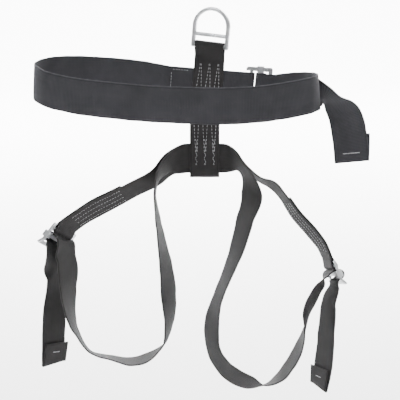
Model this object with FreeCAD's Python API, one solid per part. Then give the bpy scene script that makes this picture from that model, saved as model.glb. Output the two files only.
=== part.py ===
import FreeCAD, Part
import math
import os

# Tree climbing saddle. Millimetres, +Z up, +Y forwards, +X to the wearer's right.
# The origin is the centre of the dee ring's eye, where the climbing line is tied.
# The saddle hangs from there: the riser falls straight down, the waist belt goes round at the
# height of its middle, and the two leg loops leave its bottom fold.

V = FreeCAD.Vector
os.makedirs("parts", exist_ok=True)

# ---- driving dimensions ------------------------------------------------------------------------
LEG_WEB = 44.45           # 1 3/4 inch webbing: riser and both leg straps
BELT_WEB = 50.8           # 2 inch webbing: waist belt
TAPE = 2.2                # thickness of all the webbing
LAYER = TAPE + 0.3        # from the middle of one layer to the middle of the next
TAPE_STEP = 9.0           # longest stretch of tape between two of its sections

RING_YAW = 18.0           # the ring and the riser's top are turned this far from square
RING_ROLL = 5.0           # and lean this far to the side
RING_RADIUS = 28.5        # outside of the bow
RING_LIMB = 5.6           # thickness of the bow in its own plane
RING_DEPTH = 9.0          # thickness of the bow across its plane
RING_DROP = 28.0          # from the eye's centre to the axis of the bottom bar
RING_BAR = 7.0            # diameter of the bottom bar
CROSSBAR_DROP = 12.5
CROSSBAR = 5.8            # diameter of the crossbar
RING_ROUND = 2.6          # rounding of the bow's edges

RISER_BOTTOM = -220.5     # height of the axis of the bottom fold
RISER_OPEN = 3.7          # from the riser's mid plane to each layer, with two tapes between
RISER_SEWN = 1.3          # the same where the two layers are sewn together
RISER_JOIN = -149.0       # height where the riser's two ends meet
RISER_LEAN = 7.5          # the bottom hangs this far to the side of the top
TWIST_START = -33.0       # the riser turns square to the belt between these heights
TWIST_END = -57.0
FOLD_CLEAR = 0.6          # between a bar and the tape round it

BELT_SLOPE = 0.08         # fall of the belt's far run for each unit to the side
BELT_Z = -87.5            # height of the belt's middle where it passes the riser
BELT_LAP = 112.0          # length sewn back on itself
WAIST_BAR_X = 57.3        # the waist buckle's fixed bar
LEG_Z = -196.0            # height of both leg straps' middle where they pass the riser
LEFT_LAP = 100.0
RIGHT_LAP = 112.0

STOP_FLAP = 28.0          # length of tape folded back at the end of each leg strap
BELT_FLAP = 37.0          # and at the end of the belt
BELT_TACK_RISE = 19.0     # height of the bar tack above the fold of the belt
STOP_TURN = 1.7           # radius of that fold
STOP_SKEW = 4.5           # how far the end of the flap lies to one side of its tape

# Friction buckle, along its own axes: u along the strap away from the sewn end,
# v across it and n outwards from the body, all measured from the axis of the fixed bar.
FRAME_PLATE = 2.6
RAIL = 6.0                # width of each side rail
SIDE_GAP = 2.8            # between the tape's edge and the rail
FIXED_BAR = 5.0           # diameter of the fixed bar
FRAME_TOP = -8.0
FLARE_START = 22.0
WINDOW_END = 25.0
FRAME_END = 31.5
FLARE_RISE = 5.0
FRAME_CORNER = 3.5
SLIDE_U = 13.2            # middle of the slide bar at rest
SLIDE_WIDTH = 6.0
SLIDE_THICK = 4.0
CHEEK_WIDTH = 10.0
CHEEK_HEIGHT = 9.0
CHEEK_GAP = 0.4           # between each end of the slide bar and the rail through it
WRAP_MIDDLE = 14.7        # the tape's slack turn over the slide bar: its middle,
WRAP_HALF = 7.2           # half its length along u,
WRAP_HEIGHT = 8.8         # how far it bulges outwards
WRAP_RISE = 0.5           # and how far above the slide bar it is centred
LEG_TUCK = 2.0            # how far a leg strap tucks in behind the sewn fold as it comes up

THREAD_WIDTH = 0.9
THREAD_RISE = 0.5
STITCH_CLEAR = 0.5        # between a stitch and the tape under it
STITCH = 4.0
STITCH_PITCH = 6.0
TACK_WIDTH = 1.6
LEG_TACK = 13.0           # length of the bar tack on each leg strap's folded end
WAIST_TACK = 24.0


# ---- directions --------------------------------------------------------------------------------
def unit(x, y, z):
    return V(x, y, z).normalize()


def square_to(direction, reference):
    """The part of direction that is square to the unit vector reference, as a unit vector."""
    square = direction - reference * direction.dot(reference)
    return square.normalize()


def blend(value, start, end):
    """0 at start, 1 at end, and smooth between."""
    part = min(1.0, max(0.0, (value - start) / (end - start)))
    return part * part * (3 - 2 * part)


# ---- webbing -----------------------------------------------------------------------------------
def smooth(stations, step=TAPE_STEP):
    """Sections along a smooth line through the stations, each one (centre, across)."""
    count = len(stations)
    gaps = [(stations[i + 1][0] - stations[i][0]).Length for i in range(count - 1)]

    def slope(i, which):
        if i == 0:
            return (stations[1][which] - stations[0][which]) * (1 / gaps[0])
        if i == count - 1:
            return (stations[-1][which] - stations[-2][which]) * (1 / gaps[-1])
        before = (stations[i][which] - stations[i - 1][which]) * (1 / gaps[i - 1])
        after = (stations[i + 1][which] - stations[i][which]) * (1 / gaps[i])
        return (before * gaps[i] + after * gaps[i - 1]) * (1 / (gaps[i - 1] + gaps[i]))

    sections = []
    for i in range(count - 1):
        pieces = max(1, math.ceil(gaps[i] / step))
        for k in range(pieces):
            t = k / pieces
            weights = (2 * t**3 - 3 * t**2 + 1, t**3 - 2 * t**2 + t, 3 * t**2 - 2 * t**3, t**3 - t**2)
            values = []
            for which in (0, 1):
                value = stations[i][which] * weights[0] + slope(i, which) * (weights[1] * gaps[i])
                value += stations[i + 1][which] * weights[2]
                value += slope(i + 1, which) * (weights[3] * gaps[i])
                values.append(value)
            sections.append((values[0], values[1].normalize()))
    sections.append((stations[-1][0], stations[-1][1]))
    return sections


def faced(sections):
    """Each section as (centre, across, face), with face the unit vector out of the tape's face."""
    result = []
    last = len(sections) - 1
    for i, (centre, across) in enumerate(sections):
        along = (sections[min(i + 1, last)][0] - sections[max(i - 1, 0)][0]).normalize()
        across = square_to(across, along)
        result.append((centre, across, along.cross(across)))
    return result


def tape(sections, width):
    """The solid of one tape."""
    wires = []
    for centre, across, face in faced(sections):
        half_width = across * (width / 2)
        half_thick = face * (TAPE / 2)
        corners = [
            centre - half_width - half_thick,
            centre + half_width - half_thick,
            centre + half_width + half_thick,
            centre - half_width + half_thick,
        ]
        wires.append(Part.makePolygon(corners + corners[:1]))
    return Part.makeLoft(wires, True, True)


def last_stretch(sections, length):
    """The last sections of a run, as many as make up length."""
    total = 0.0
    first = len(sections) - 1
    while first > 0 and total < length:
        total += (sections[first][0] - sections[first - 1][0]).Length
        first -= 1
    return sections[first:]


def lapped(sections, offset, length):
    """The layer that runs back beside the last stretch of a run, offset out of its face."""
    stretch = last_stretch(sections, length)
    return [(centre + face * offset, across) for centre, across, face in reversed(faced(stretch))]


def folded_end(sections, side, skew, length=STOP_FLAP):
    """A run with its free end folded back on itself, a little askew, to stop it at the buckle."""
    centre, across, face = faced(sections)[-1]
    along = across.cross(face)
    turn = []
    for degrees in (45, 90, 135):
        angle = math.radians(degrees)
        out = face * (side * STOP_TURN * (1 - math.cos(angle)))
        turn.append((centre + along * (STOP_TURN * math.sin(angle)) + out, across))
    flap = lapped(sections, side * 2 * STOP_TURN, length)
    last = len(flap) - 1
    askew = [(point + over * (skew * i / last), over) for i, (point, over) in enumerate(flap)]
    return sections + turn + askew


def rows(table):
    """Stations from rows of x, y, z and the direction of the tape's upper edge."""
    return [(V(x, y, z), unit(*across)) for x, y, z, across in table]


# ---- places of the three buckles ---------------------------------------------------------------
class Seat:
    """Where a buckle sits: the centre of its fixed bar, and its u, v and n directions."""

    def __init__(self, centre, along, upper, outer_side, web):
        self.centre = centre
        self.u = along
        self.v = square_to(upper, along)
        self.n = self.u.cross(self.v) * outer_side
        self.outer_side = outer_side
        self.web = web

    def point(self, u, n, v=0.0):
        return self.centre + self.u * u + self.n * n + self.v * v

    def station(self, u, n, v=0.0):
        return (self.point(u, n, v), self.v)

    def placed(self, shape):
        """A shape drawn with u, v and n as its X, Y and Z, moved to this buckle."""
        if self.outer_side < 0:
            shape = shape.mirror(V(0, 0, 0), V(0, 1, 0))
            rotation = FreeCAD.Rotation(self.u, self.v * -1, self.n, "XYZ")
        else:
            rotation = FreeCAD.Rotation(self.u, self.v, self.n, "XYZ")
        moved = shape.copy()
        moved.Placement = FreeCAD.Placement(self.centre, rotation).multiply(moved.Placement)
        return moved


belt_along = unit(1, 0, -BELT_SLOPE)


def belt_height(x):
    """Height of the belt's middle along its straight far run."""
    return BELT_Z - BELT_SLOPE * (x + RISER_LEAN)


waist_seat = Seat(V(WAIST_BAR_X, 0, belt_height(WAIST_BAR_X)), belt_along, V(0, 0, 1), -1, BELT_WEB)
left_seat = Seat(V(-224, -18, -307), unit(-0.62, -0.18, -0.78), V(-0.5, -0.77, 0.4), 1, LEG_WEB)
right_seat = Seat(V(182, -16.5, -359.5), unit(0.364, -0.21, -0.916), V(0.13, -0.92, 0.387), -1, LEG_WEB)

BAR_LOOP = FIXED_BAR / 2 + FOLD_CLEAR + TAPE / 2


def round_fixed_bar(seat):
    """The tape's turn round the fixed bar, from the body side to the outer side."""
    turn = []
    for degrees in range(-90, 91, 30):
        angle = math.radians(degrees)
        turn.append(seat.station(BAR_LOOP * math.cos(angle), BAR_LOOP * math.sin(angle)))
    return turn


def over_slide_bar(seat, tuck=0.0):
    """The tape's way up through the window, over the slide bar and down again."""
    near = WRAP_MIDDLE - WRAP_HALF
    route = [seat.station(near + 1.2 - tuck, -4.5), seat.station(near - 0.5 * tuck, -1.5)]
    for degrees in range(180, -1, -30):
        angle = math.radians(degrees)
        u = WRAP_MIDDLE + WRAP_HALF * math.cos(angle)
        route.append(seat.station(u, WRAP_RISE + WRAP_HEIGHT * math.sin(angle)))
    route.append(seat.station(WRAP_MIDDLE + WRAP_HALF + 0.4, -2.0))
    return route


# ---- dee ring ----------------------------------------------------------------------------------
ring_x = unit(
    math.cos(math.radians(RING_YAW)) * math.cos(math.radians(RING_ROLL)),
    -math.sin(math.radians(RING_YAW)) * math.cos(math.radians(RING_ROLL)),
    -math.sin(math.radians(RING_ROLL)),
)
ring_y = square_to(unit(math.sin(math.radians(RING_YAW)), math.cos(math.radians(RING_YAW)), 0), ring_x)
ring_z = ring_x.cross(ring_y)
ring_bar_centre = ring_z * -RING_DROP


def bow_outline(radius, foot):
    """A half circle on two straight legs, closed across its foot, as a face in the ring's plane."""
    top = V(0, 0, radius)
    arc = Part.Arc(V(-radius, 0, 0), top, V(radius, 0, 0)).toShape()
    right = Part.makeLine(V(radius, 0, 0), V(radius, 0, foot))
    bottom = Part.makeLine(V(radius, 0, foot), V(-radius, 0, foot))
    left = Part.makeLine(V(-radius, 0, foot), V(-radius, 0, 0))
    return Part.Face(Part.Wire([arc, right, bottom, left]))


def dee_ring():
    """Flat-sided bow, round crossbar and round bottom bar, forged as one."""
    depth = V(0, RING_DEPTH, 0)
    foot = -RING_DROP - RING_BAR / 2 - 0.5
    outer = bow_outline(RING_RADIUS, foot).extrude(depth)
    inner = bow_outline(RING_RADIUS - RING_LIMB, foot - 1).extrude(depth)
    bow = outer.cut(inner)
    bow.translate(V(0, -RING_DEPTH / 2, 0))
    bow = bow.makeFillet(RING_ROUND, bow.Edges)
    reach = RING_RADIUS - RING_LIMB / 2
    cross = Part.makeCylinder(CROSSBAR / 2, 2 * reach, V(-reach, 0, -CROSSBAR_DROP), V(1, 0, 0))
    bottom = Part.makeCylinder(RING_BAR / 2, 2 * reach, V(-reach, 0, -RING_DROP), V(1, 0, 0))
    ring = bow.fuse([cross, bottom]).removeSplitter()
    ring.Placement = FreeCAD.Placement(V(0, 0, 0), FreeCAD.Rotation(ring_x, ring_y, ring_z, "XYZ"))
    return ring


# ---- buckles -----------------------------------------------------------------------------------
def buckle_frame(seat):
    """Stamped frame: fixed bar, two side rails and a cross member that flares outwards."""
    inside = seat.web / 2 + SIDE_GAP
    outside = inside + RAIL
    half = FRAME_PLATE / 2
    slope = FLARE_RISE / (FRAME_END - FLARE_START)
    side = [
        V(FRAME_TOP, -outside, -half),
        V(FLARE_START, -outside, -half),
        V(FRAME_END, -outside, FLARE_RISE - half),
        V(FRAME_END - slope * half, -outside, FLARE_RISE + half),
        V(FLARE_START - slope * half, -outside, half),
        V(FRAME_TOP, -outside, half),
    ]
    plate = Part.Face(Part.makePolygon(side + side[:1])).extrude(V(0, 2 * outside, 0))
    window = Part.makeBox(WINDOW_END, 2 * inside, 40, V(0, -inside, -20))
    plate = plate.cut(window)
    mouth = Part.makeBox(20, 2 * inside, 40, V(-20, -inside, -20))
    plate = plate.cut(mouth)
    outline = Part.makeBox(
        FRAME_END - FRAME_TOP, 2 * outside, 40, V(FRAME_TOP, -outside, -20)
    )
    upright = [edge for edge in outline.Edges if abs(edge.Vertexes[0].Z - edge.Vertexes[-1].Z) > 1]
    plate = plate.common(outline.makeFillet(FRAME_CORNER, upright))
    reach = outside - RAIL / 2
    bar = Part.makeCylinder(FIXED_BAR / 2, 2 * reach, V(0, -reach, 0), V(0, 1, 0))
    return seat.placed(plate.fuse(bar).removeSplitter())


def slide_bar(seat):
    """Grooved bar across the window, with an end round each rail that it slides on."""
    inside = seat.web / 2 + SIDE_GAP
    outside = inside + RAIL
    cheek_inside = inside - 1.8
    cheek_outside = outside + 1.6
    bar = Part.makeBox(
        SLIDE_WIDTH, 2 * inside, SLIDE_THICK, V(SLIDE_U - SLIDE_WIDTH / 2, -inside, -SLIDE_THICK / 2)
    )
    groove_pitch = SLIDE_WIDTH / 5
    grooves = []
    for k in range(1, 5):
        u = SLIDE_U - SLIDE_WIDTH / 2 + k * groove_pitch
        groove = Part.makeCylinder(0.35, 2 * inside, V(u, -inside, SLIDE_THICK / 2), V(0, 1, 0))
        grooves.append(groove)
    bar = bar.cut(grooves)
    cheeks = []
    for lower in (-cheek_outside, cheek_inside):
        cheek = Part.makeBox(
            CHEEK_WIDTH,
            cheek_outside - cheek_inside,
            CHEEK_HEIGHT,
            V(SLIDE_U - CHEEK_WIDTH / 2, lower, -CHEEK_HEIGHT / 2),
        )
        long_edges = [
            edge
            for edge in cheek.Edges
            if abs(edge.Vertexes[0].Y - edge.Vertexes[-1].Y) > 1
        ]
        cheek = cheek.makeFillet(1.8, long_edges)
        rail_low = -outside if lower < 0 else inside
        hole = Part.makeBox(
            CHEEK_WIDTH + 2,
            RAIL + 2 * CHEEK_GAP,
            FRAME_PLATE + 2 * CHEEK_GAP,
            V(SLIDE_U - CHEEK_WIDTH / 2 - 1, rail_low - CHEEK_GAP, -FRAME_PLATE / 2 - CHEEK_GAP),
        )
        cheeks.append(cheek.cut(hole))
    reach = inside - 1.2
    core = bar.common(Part.makeBox(40, 2 * reach, 20, V(0, -reach, -10)))
    return seat.placed(core.fuse(cheeks).removeSplitter())


# ---- riser -------------------------------------------------------------------------------------
def riser_place(z):
    """Centre, across direction and outward face of the riser's mid plane at height z."""
    square = blend(z, TWIST_START, TWIST_END)
    yaw = math.radians(RING_YAW * (1 - square))
    roll = math.radians(RING_ROLL * (1 - square))
    across = V(math.cos(yaw) * math.cos(roll), -math.sin(yaw) * math.cos(roll), -math.sin(roll))
    lean = blend(z, ring_bar_centre.z, -150)
    centre = V(ring_bar_centre.x - RISER_LEAN * lean, ring_bar_centre.y * (1 - square), z)
    return centre, across, V(math.sin(yaw), math.cos(yaw), 0)


def riser_layer():
    """Heights down one layer, each with its distance from the mid plane."""
    return [
        (-36, 3.8),
        (-43, RISER_SEWN + 0.1),
        (-49, RISER_SEWN + 0.2),
        (-57, RISER_OPEN),
        (-75, RISER_OPEN),
        (-100, RISER_OPEN),
        (-115, RISER_OPEN),
        (-122, RISER_SEWN + 0.4),
        (-130, RISER_SEWN),
        (-147, RISER_SEWN),
        (-160, RISER_SEWN + 0.2),
        (-170, RISER_OPEN),
        (-185, RISER_OPEN),
        (-205, RISER_OPEN),
    ]


def riser_station(z, depth):
    centre, across, out = riser_place(z)
    return (centre + out * depth, across)


def riser_sections():
    """The riser as one band: up the outer layer, over the ring's bar and down the body side."""
    bar_loop = RING_BAR / 2 + FOLD_CLEAR + TAPE / 2
    top_z = ring_bar_centre.z
    outer = [riser_station(z, depth) for z, depth in riser_layer() if z > RISER_JOIN + 1]
    body = [riser_station(z, -depth) for z, depth in riser_layer()]
    tail = [riser_station(z, depth) for z, depth in riser_layer() if z < RISER_JOIN - 1]
    over = []
    for degrees in range(0, 181, 30):
        angle = math.radians(degrees)
        depth = bar_loop * math.cos(angle)
        over.append(riser_station(top_z, depth))
        over[-1] = (over[-1][0] + ring_z * (bar_loop * math.sin(angle)), over[-1][1])
    under = []
    for degrees in range(180, 361, 30):
        angle = math.radians(degrees)
        under.append(riser_station(RISER_BOTTOM, RISER_OPEN * math.cos(angle)))
        under[-1] = (under[-1][0] + V(0, 0, RISER_OPEN * math.sin(angle)), under[-1][1])
    start = riser_station(RISER_JOIN + 1, RISER_SEWN)
    end = riser_station(RISER_JOIN - 1, RISER_SEWN)
    stations = [start] + list(reversed(outer)) + over + body + under + list(reversed(tail)) + [end]
    return smooth(stations)


# ---- waist belt --------------------------------------------------------------------------------
UPRIGHT = (0, 0, 1)

# From the far side's left end, round the back of the wearer, to the right of the buckle.
belt_round = rows([
    (-105, -2, -75, (0.05, 0.0, 1)),
    (-163, -7, -69, (0.05, 0.0, 1)),
    (-206, -21, -66, (0.05, 0.05, 1)),
    (-237, -47, -66, (0.08, 0.0, 1)),
    (-250, -80, -70, (0.08, -0.1, 1)),
    (-235, -108, -76, (0.06, -0.1, 1)),
    (-195, -132, -83, (0.03, -0.1, 1)),
    (-138, -149, -88, (0.02, -0.1, 1)),
    (-84, -155, -92, (0.01, -0.1, 1)),
    (-30, -157, -94, (0, -0.08, 1)),
    (10, -156, -95, (0, -0.05, 1)),
    (56, -149, -94, (0, -0.05, 1)),
    (106, -130, -90, (-0.02, 0, 1)),
    (141, -105, -86, (-0.03, 0, 1)),
    (150.5, -82, -85, (-0.09, 0, 1)),
    (146, -58, -86, (-0.05, 0, 1)),
    (128, -28, -89, UPRIGHT),
    (112, -13, -92, UPRIGHT),
])

# The free end, from the buckle along the outside of the belt and then away to hang down.
belt_tail = rows([
    (111, -5, -93, UPRIGHT),
    (131, -17, -92, UPRIGHT),
    (149, -35, -90, (-0.1, -0.3, 0.95)),
    (162, -46, -94, (-0.05, -0.72, 0.7)),
    (174, -47, -103, (0.1, -0.84, 0.54)),
    (185, -44, -113, (0.42, -0.66, 0.62)),
    (193, -41, -124, (0.74, -0.42, 0.52)),
    (198.5, -40, -141, (0.91, -0.16, 0.37)),
    (203, -40, -166, (0.97, -0.1, 0.2)),
    (206, -40, -192, (0.98, -0.1, 0.16)),
])


def belt_far_station(x):
    """A station of the belt's body-side layer on its straight far run."""
    return (V(x, -LAYER / 2, belt_height(x)), waist_seat.v)


def belt_sections():
    seat = waist_seat
    straight = smooth([belt_far_station(x) for x in (-62, -20, 20, WAIST_BAR_X - 18)])
    into_loop = smooth([straight[-1], seat.station(-9, -2.6), seat.station(0, -BAR_LOOP)], 5)
    out_of_loop = smooth([seat.station(0, BAR_LOOP), seat.station(-9, 2.6), seat.station(-18, LAYER / 2)], 5)
    lap = lapped(straight, -LAYER, BELT_LAP)
    loop = round_fixed_bar(seat)
    start = list(reversed(out_of_loop[1:-1] + lap))
    sewn = start + list(reversed(loop)) + list(reversed(into_loop[1:-1])) + list(reversed(straight))
    entry = [seat.station(34, -6.6), seat.station(24, -6.4), seat.station(13, -6.2)]
    away = [seat.station(25, -3.4), seat.station(34, -3.6)]
    free = smooth([sewn[-1]] + belt_round + entry + over_slide_bar(seat) + away + belt_tail)
    return folded_end(sewn + free[1:], -1, STOP_SKEW, BELT_FLAP)


# ---- leg straps --------------------------------------------------------------------------------
# Each table runs outwards from the riser. The tape's upper edge at the riser becomes the edge
# nearer the wearer's back all the way round each loop.
left_loop = rows([
    (-61, -12, -201, (-0.04, -0.6, 0.8)),
    (-75, -17, -216, (-0.06, -0.83, 0.55)),
    (-83.5, -19, -240, (0.0, -0.97, 0.25)),
    (-81, -20, -279, (-0.1, -0.96, 0.25)),
    (-76.5, -20, -310, (-0.2, -0.95, 0.25)),
    (-69, -20, -357, (-0.38, -0.89, 0.26)),
    (-64.5, -20, -403, (-0.47, -0.84, 0.27)),
    (-64, -19, -454, (-0.23, -0.92, 0.32)),
    (-72, -18, -485, (0.02, -0.94, 0.35)),
    (-95, -17, -506, (0.08, -0.99, 0.07)),
    (-124, -17, -514, (0.12, -0.99, 0.08)),
    (-153, -18, -508, (0.08, -0.98, 0.19)),
    (-185, -19, -498, (0.06, -0.96, 0.29)),
    (-206, -20, -465, (-0.03, -0.96, 0.27)),
    (-214.5, -22, -434, (-0.23, -0.95, 0.21)),
    (-217, -23, -399, (-0.42, -0.89, 0.18)),
    (-217, -24, -363, (-0.66, -0.73, 0.17)),
    (-219.5, -23, -342, (-0.52, -0.78, 0.28)),
])

right_loop = rows([
    (40, -11, -203, (-0.03, -0.75, 0.66)),
    (54.5, -16, -221, (0.25, -0.87, 0.42)),
    (60.5, -18, -249, (0.6, -0.66, 0.45)),
    (50.5, -19, -287, (0.54, -0.81, 0.22)),
    (38, -20, -334, (0.45, -0.86, 0.24)),
    (23, -20, -375, (0.34, -0.9, 0.27)),
    (8, -19, -418, (0.34, -0.89, 0.3)),
    (1.5, -18, -453, (0.47, -0.83, 0.3)),
    (2.5, -17, -487, (0.44, -0.84, 0.31)),
    (13.5, -16, -514, (0.37, -0.73, 0.57)),
    (36, -16, -538, (0.19, -0.61, 0.77)),
    (60.5, -17, -549, (0.01, -0.66, 0.75)),
    (84, -18, -552.5, (-0.06, -0.93, 0.35)),
    (104.5, -18, -541, (0.15, -0.97, 0.18)),
    (125, -19, -514.5, (0.23, -0.95, 0.19)),
    (138, -20, -486, (0.14, -0.97, 0.18)),
    (146, -21, -454, (-0.11, -0.94, 0.31)),
    (149, -22, -428.5, (-0.36, -0.86, 0.36)),
    (157, -23, -406, (-0.42, -0.86, 0.28)),
    (167.5, -23, -387, (-0.34, -0.88, 0.32)),
])

left_tail = rows([
    (-237, -13, -371, (-0.4, -0.87, 0.28)),
    (-241.5, -10, -439, (-0.69, -0.71, 0.15)),
    (-244.5, -8, -487, (-0.7, -0.71, 0.08)),
    (-246, -7, -518, (-0.7, -0.71, 0.02)),
])

right_tail = rows([
    (181.5, -18, -417, (0.36, -0.88, 0.3)),
    (178.5, -16, -458, (0.42, -0.86, 0.3)),
    (177, -14, -495, (0.48, -0.86, 0.16)),
    (174.5, -13, -527, (0.5, -0.85, 0.12)),
    (170.5, -13, -555, (0.45, -0.88, 0.12)),
])

left_upper = rows([
    (-61, 2, -206, (-0.02, -0.44, 0.89)),
    (-84, -1, -226, (-0.09, -0.68, 0.73)),
    (-116, -6, -242, (-0.22, -0.75, 0.62)),
    (-145, -9, -257, (-0.24, -0.73, 0.64)),
    (-173, -12, -271, (-0.26, -0.71, 0.66)),
    (-198, -14.5, -286, (-0.4, -0.76, 0.51)),
])

right_upper = rows([
    (38, 2, -201, (-0.1, -0.74, 0.66)),
    (59, -3, -216, (-0.08, -0.92, 0.38)),
    (74, -6, -228, (0.04, -0.94, 0.33)),
    (92, -9, -235.5, (0.11, -0.9, 0.41)),
    (107, -11, -251.5, (0.16, -0.93, 0.3)),
    (127.5, -13, -281, (0.18, -0.91, 0.38)),
    (152, -14, -309, (0.2, -0.89, 0.39)),
    (168, -14, -331, (0.12, -0.9, 0.42)),
])


def riser_crossing(depth):
    """The flat stretch of a leg strap inside the riser's bottom fold, from left to right."""
    middle = riser_place(LEG_Z)[0].x
    reach = LEG_WEB / 2 + 5
    places = (-reach, -reach + 4, -reach / 2, 0, reach / 2, reach - 4, reach)
    return [(V(middle + x, depth, LEG_Z), V(0, 0, 1)) for x in places]


def leg_loop_end(seat, loop, tail, exit_depth):
    """One end of the leg strap, outwards from the riser to the free end."""
    entry = [seat.station(8.4, -9.5, -1)]
    away = [seat.station(25, -4.4), seat.station(31, exit_depth, -1.5)]
    return loop + entry + over_slide_bar(seat, LEG_TUCK) + away + tail


def leg_loop_sections():
    left = leg_loop_end(left_seat, left_loop, left_tail, -10)
    right = leg_loop_end(right_seat, right_loop, right_tail, -6)
    crossing = riser_crossing(-LAYER / 2)
    run = folded_end(smooth(list(reversed(left)) + crossing + right), 1, -STOP_SKEW)
    return list(reversed(folded_end(list(reversed(run)), -1, -STOP_SKEW)))


def upper_strap_end(seat, crossing_end, table, lap_length):
    """One end of the upper strap: out to its buckle, round the fixed bar and sewn back."""
    side = seat.outer_side
    run = smooth([crossing_end] + table + [seat.station(-12, -LAYER / 2 - 0.3)])
    into_loop = smooth([run[-1], seat.station(-6, -2.8), seat.station(0, -BAR_LOOP)], 5)
    out_of_loop = smooth([seat.station(0, BAR_LOOP), seat.station(-6, 2.6)], 5)
    lap = lapped(run, side * LAYER, lap_length)
    return run[1:] + into_loop[1:-1] + round_fixed_bar(seat) + out_of_loop[1:] + lap[1:]


def upper_strap_sections():
    crossing = riser_crossing(LAYER / 2)
    left = upper_strap_end(left_seat, crossing[0], left_upper, LEFT_LAP)
    right = upper_strap_end(right_seat, crossing[-1], right_upper, RIGHT_LAP)
    return list(reversed(left)) + crossing + right


# ---- stitching ---------------------------------------------------------------------------------
def stitch(centre, along, face, length, width):
    """One stitch standing on a tape's surface."""
    side = face.cross(along)
    shape = Part.makeBox(length, width, THREAD_RISE, V(-length / 2, -width / 2, 0))
    shape.Placement = FreeCAD.Placement(centre, FreeCAD.Rotation(along, side, face, "XYZ"))
    return shape


def at_distance(sections, distance):
    """Centre, across and face of a run at a distance along it."""
    placed = faced(sections)
    for i in range(len(placed) - 1):
        gap = (placed[i + 1][0] - placed[i][0]).Length
        if distance <= gap or i == len(placed) - 2:
            part = distance / gap
            centre = placed[i][0] * (1 - part) + placed[i + 1][0] * part
            across = (placed[i][1] * (1 - part) + placed[i + 1][1] * part).normalize()
            along = (placed[i + 1][0] - placed[i][0]).normalize()
            across = square_to(across, along)
            return centre, across, along.cross(across)
        distance -= gap
    return placed[-1]


def stitch_line(sections, side, start, end):
    """Stitches from start to end, each a pair of distance along and distance across."""
    length = math.dist(start, end)
    count = max(1, int(length / STITCH_PITCH))
    stitches = []
    for k in range(count):
        points = []
        for part in ((k + 0.2) / count, (k + 0.8) / count):
            s = start[0] + (end[0] - start[0]) * part
            v = start[1] + (end[1] - start[1]) * part
            centre, across, face = at_distance(sections, s)
            points.append(centre + across * v + face * (side * (TAPE / 2 + STITCH_CLEAR)))
        out = face * side
        along = square_to(points[1] - points[0], out)
        stitches.append(stitch((points[0] + points[1]) * 0.5, along, out, STITCH, THREAD_WIDTH))
    return stitches


def riser_face(depth_sign):
    """Sections down one layer of the riser, for its stitching."""
    return smooth([riser_station(z, depth_sign * depth) for z, depth in riser_layer()], 4)


# Three narrow lozenges of stitching down the riser, each one from its own place across.
LOZENGE_PLACES = (-12.5, 0.5, 13.5)
LOZENGE_HALF = 5.0
LOZENGE_TOP = 18.0        # distances down the layer from its first section
LOZENGE_MIDDLE = 74.0
LOZENGE_END = 152.0
RISER_STITCH_END = 176.0


def riser_upper_stitching():
    stitches = []
    for depth_sign in (-1, 1):
        sections = riser_face(depth_sign)
        for place in LOZENGE_PLACES:
            for half in (-LOZENGE_HALF, LOZENGE_HALF):
                start = (LOZENGE_TOP, place + half * 0.1)
                end = (LOZENGE_MIDDLE, place + half)
                stitches += stitch_line(sections, -depth_sign, start, end)
    return Part.makeCompound(stitches)


def riser_lower_stitching():
    stitches = []
    for depth_sign in (-1, 1):
        sections = riser_face(depth_sign)
        for place in LOZENGE_PLACES:
            for half in (-LOZENGE_HALF, LOZENGE_HALF):
                start = (LOZENGE_MIDDLE + 4, place + half)
                end = (LOZENGE_END, place + half * 0.2)
                stitches += stitch_line(sections, -depth_sign, start, end)
            start = (LOZENGE_END + 2, place)
            stitches += stitch_line(sections, -depth_sign, start, (RISER_STITCH_END, place))
    return Part.makeCompound(stitches)


def lap_stitching(run, side, lap_length, from_end):
    """Rows of stitching on the body side of a sewn-back end."""
    length = sum((run[i + 1][0] - run[i][0]).Length for i in range(len(run) - 1))
    stitches = []
    for place in (-15.0, -5.0, 5.0, 15.0):
        start = (length - lap_length + 4, place)
        stitches += stitch_line(run, side, start, (length - from_end, place))
    return Part.makeCompound(stitches)


def leg_lap_stitching(seat, crossing_end, table, lap_length):
    run = smooth([crossing_end] + table + [seat.station(-12, -LAYER / 2 - 0.3)])
    return lap_stitching(run, -seat.outer_side, lap_length, 14.0)


def belt_lap_stitching():
    """A box of stitching beside the riser, where the belt's sewn end stops."""
    run = smooth([belt_far_station(x) for x in (-62, -34)])
    top = BELT_WEB / 2 - 4
    stitches = []
    for start, end in (((3, top), (27, top)), ((3, -top), (27, -top)), ((2, -top + 4), (2, top - 4))):
        stitches += stitch_line(run, 1, start, end)
    return Part.makeCompound(stitches)


def bar_tack(sections, distance, side, length):
    """One dense bar of thread across a tape, at a distance back from its end."""
    total = 0.0
    index = len(sections) - 1
    while total < distance:
        total += (sections[index][0] - sections[index - 1][0]).Length
        index -= 1
    centre, across, face = faced(sections)[index]
    out = face * side
    return stitch(centre + out * (TAPE / 2 + STITCH_CLEAR), across, out, length, TACK_WIDTH)


# ---- write one file for each piece -------------------------------------------------------------
belt = belt_sections()
leg_loops = leg_loop_sections()
upper_strap = upper_strap_sections()
crossing_ends = riser_crossing(LAYER / 2)

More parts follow.
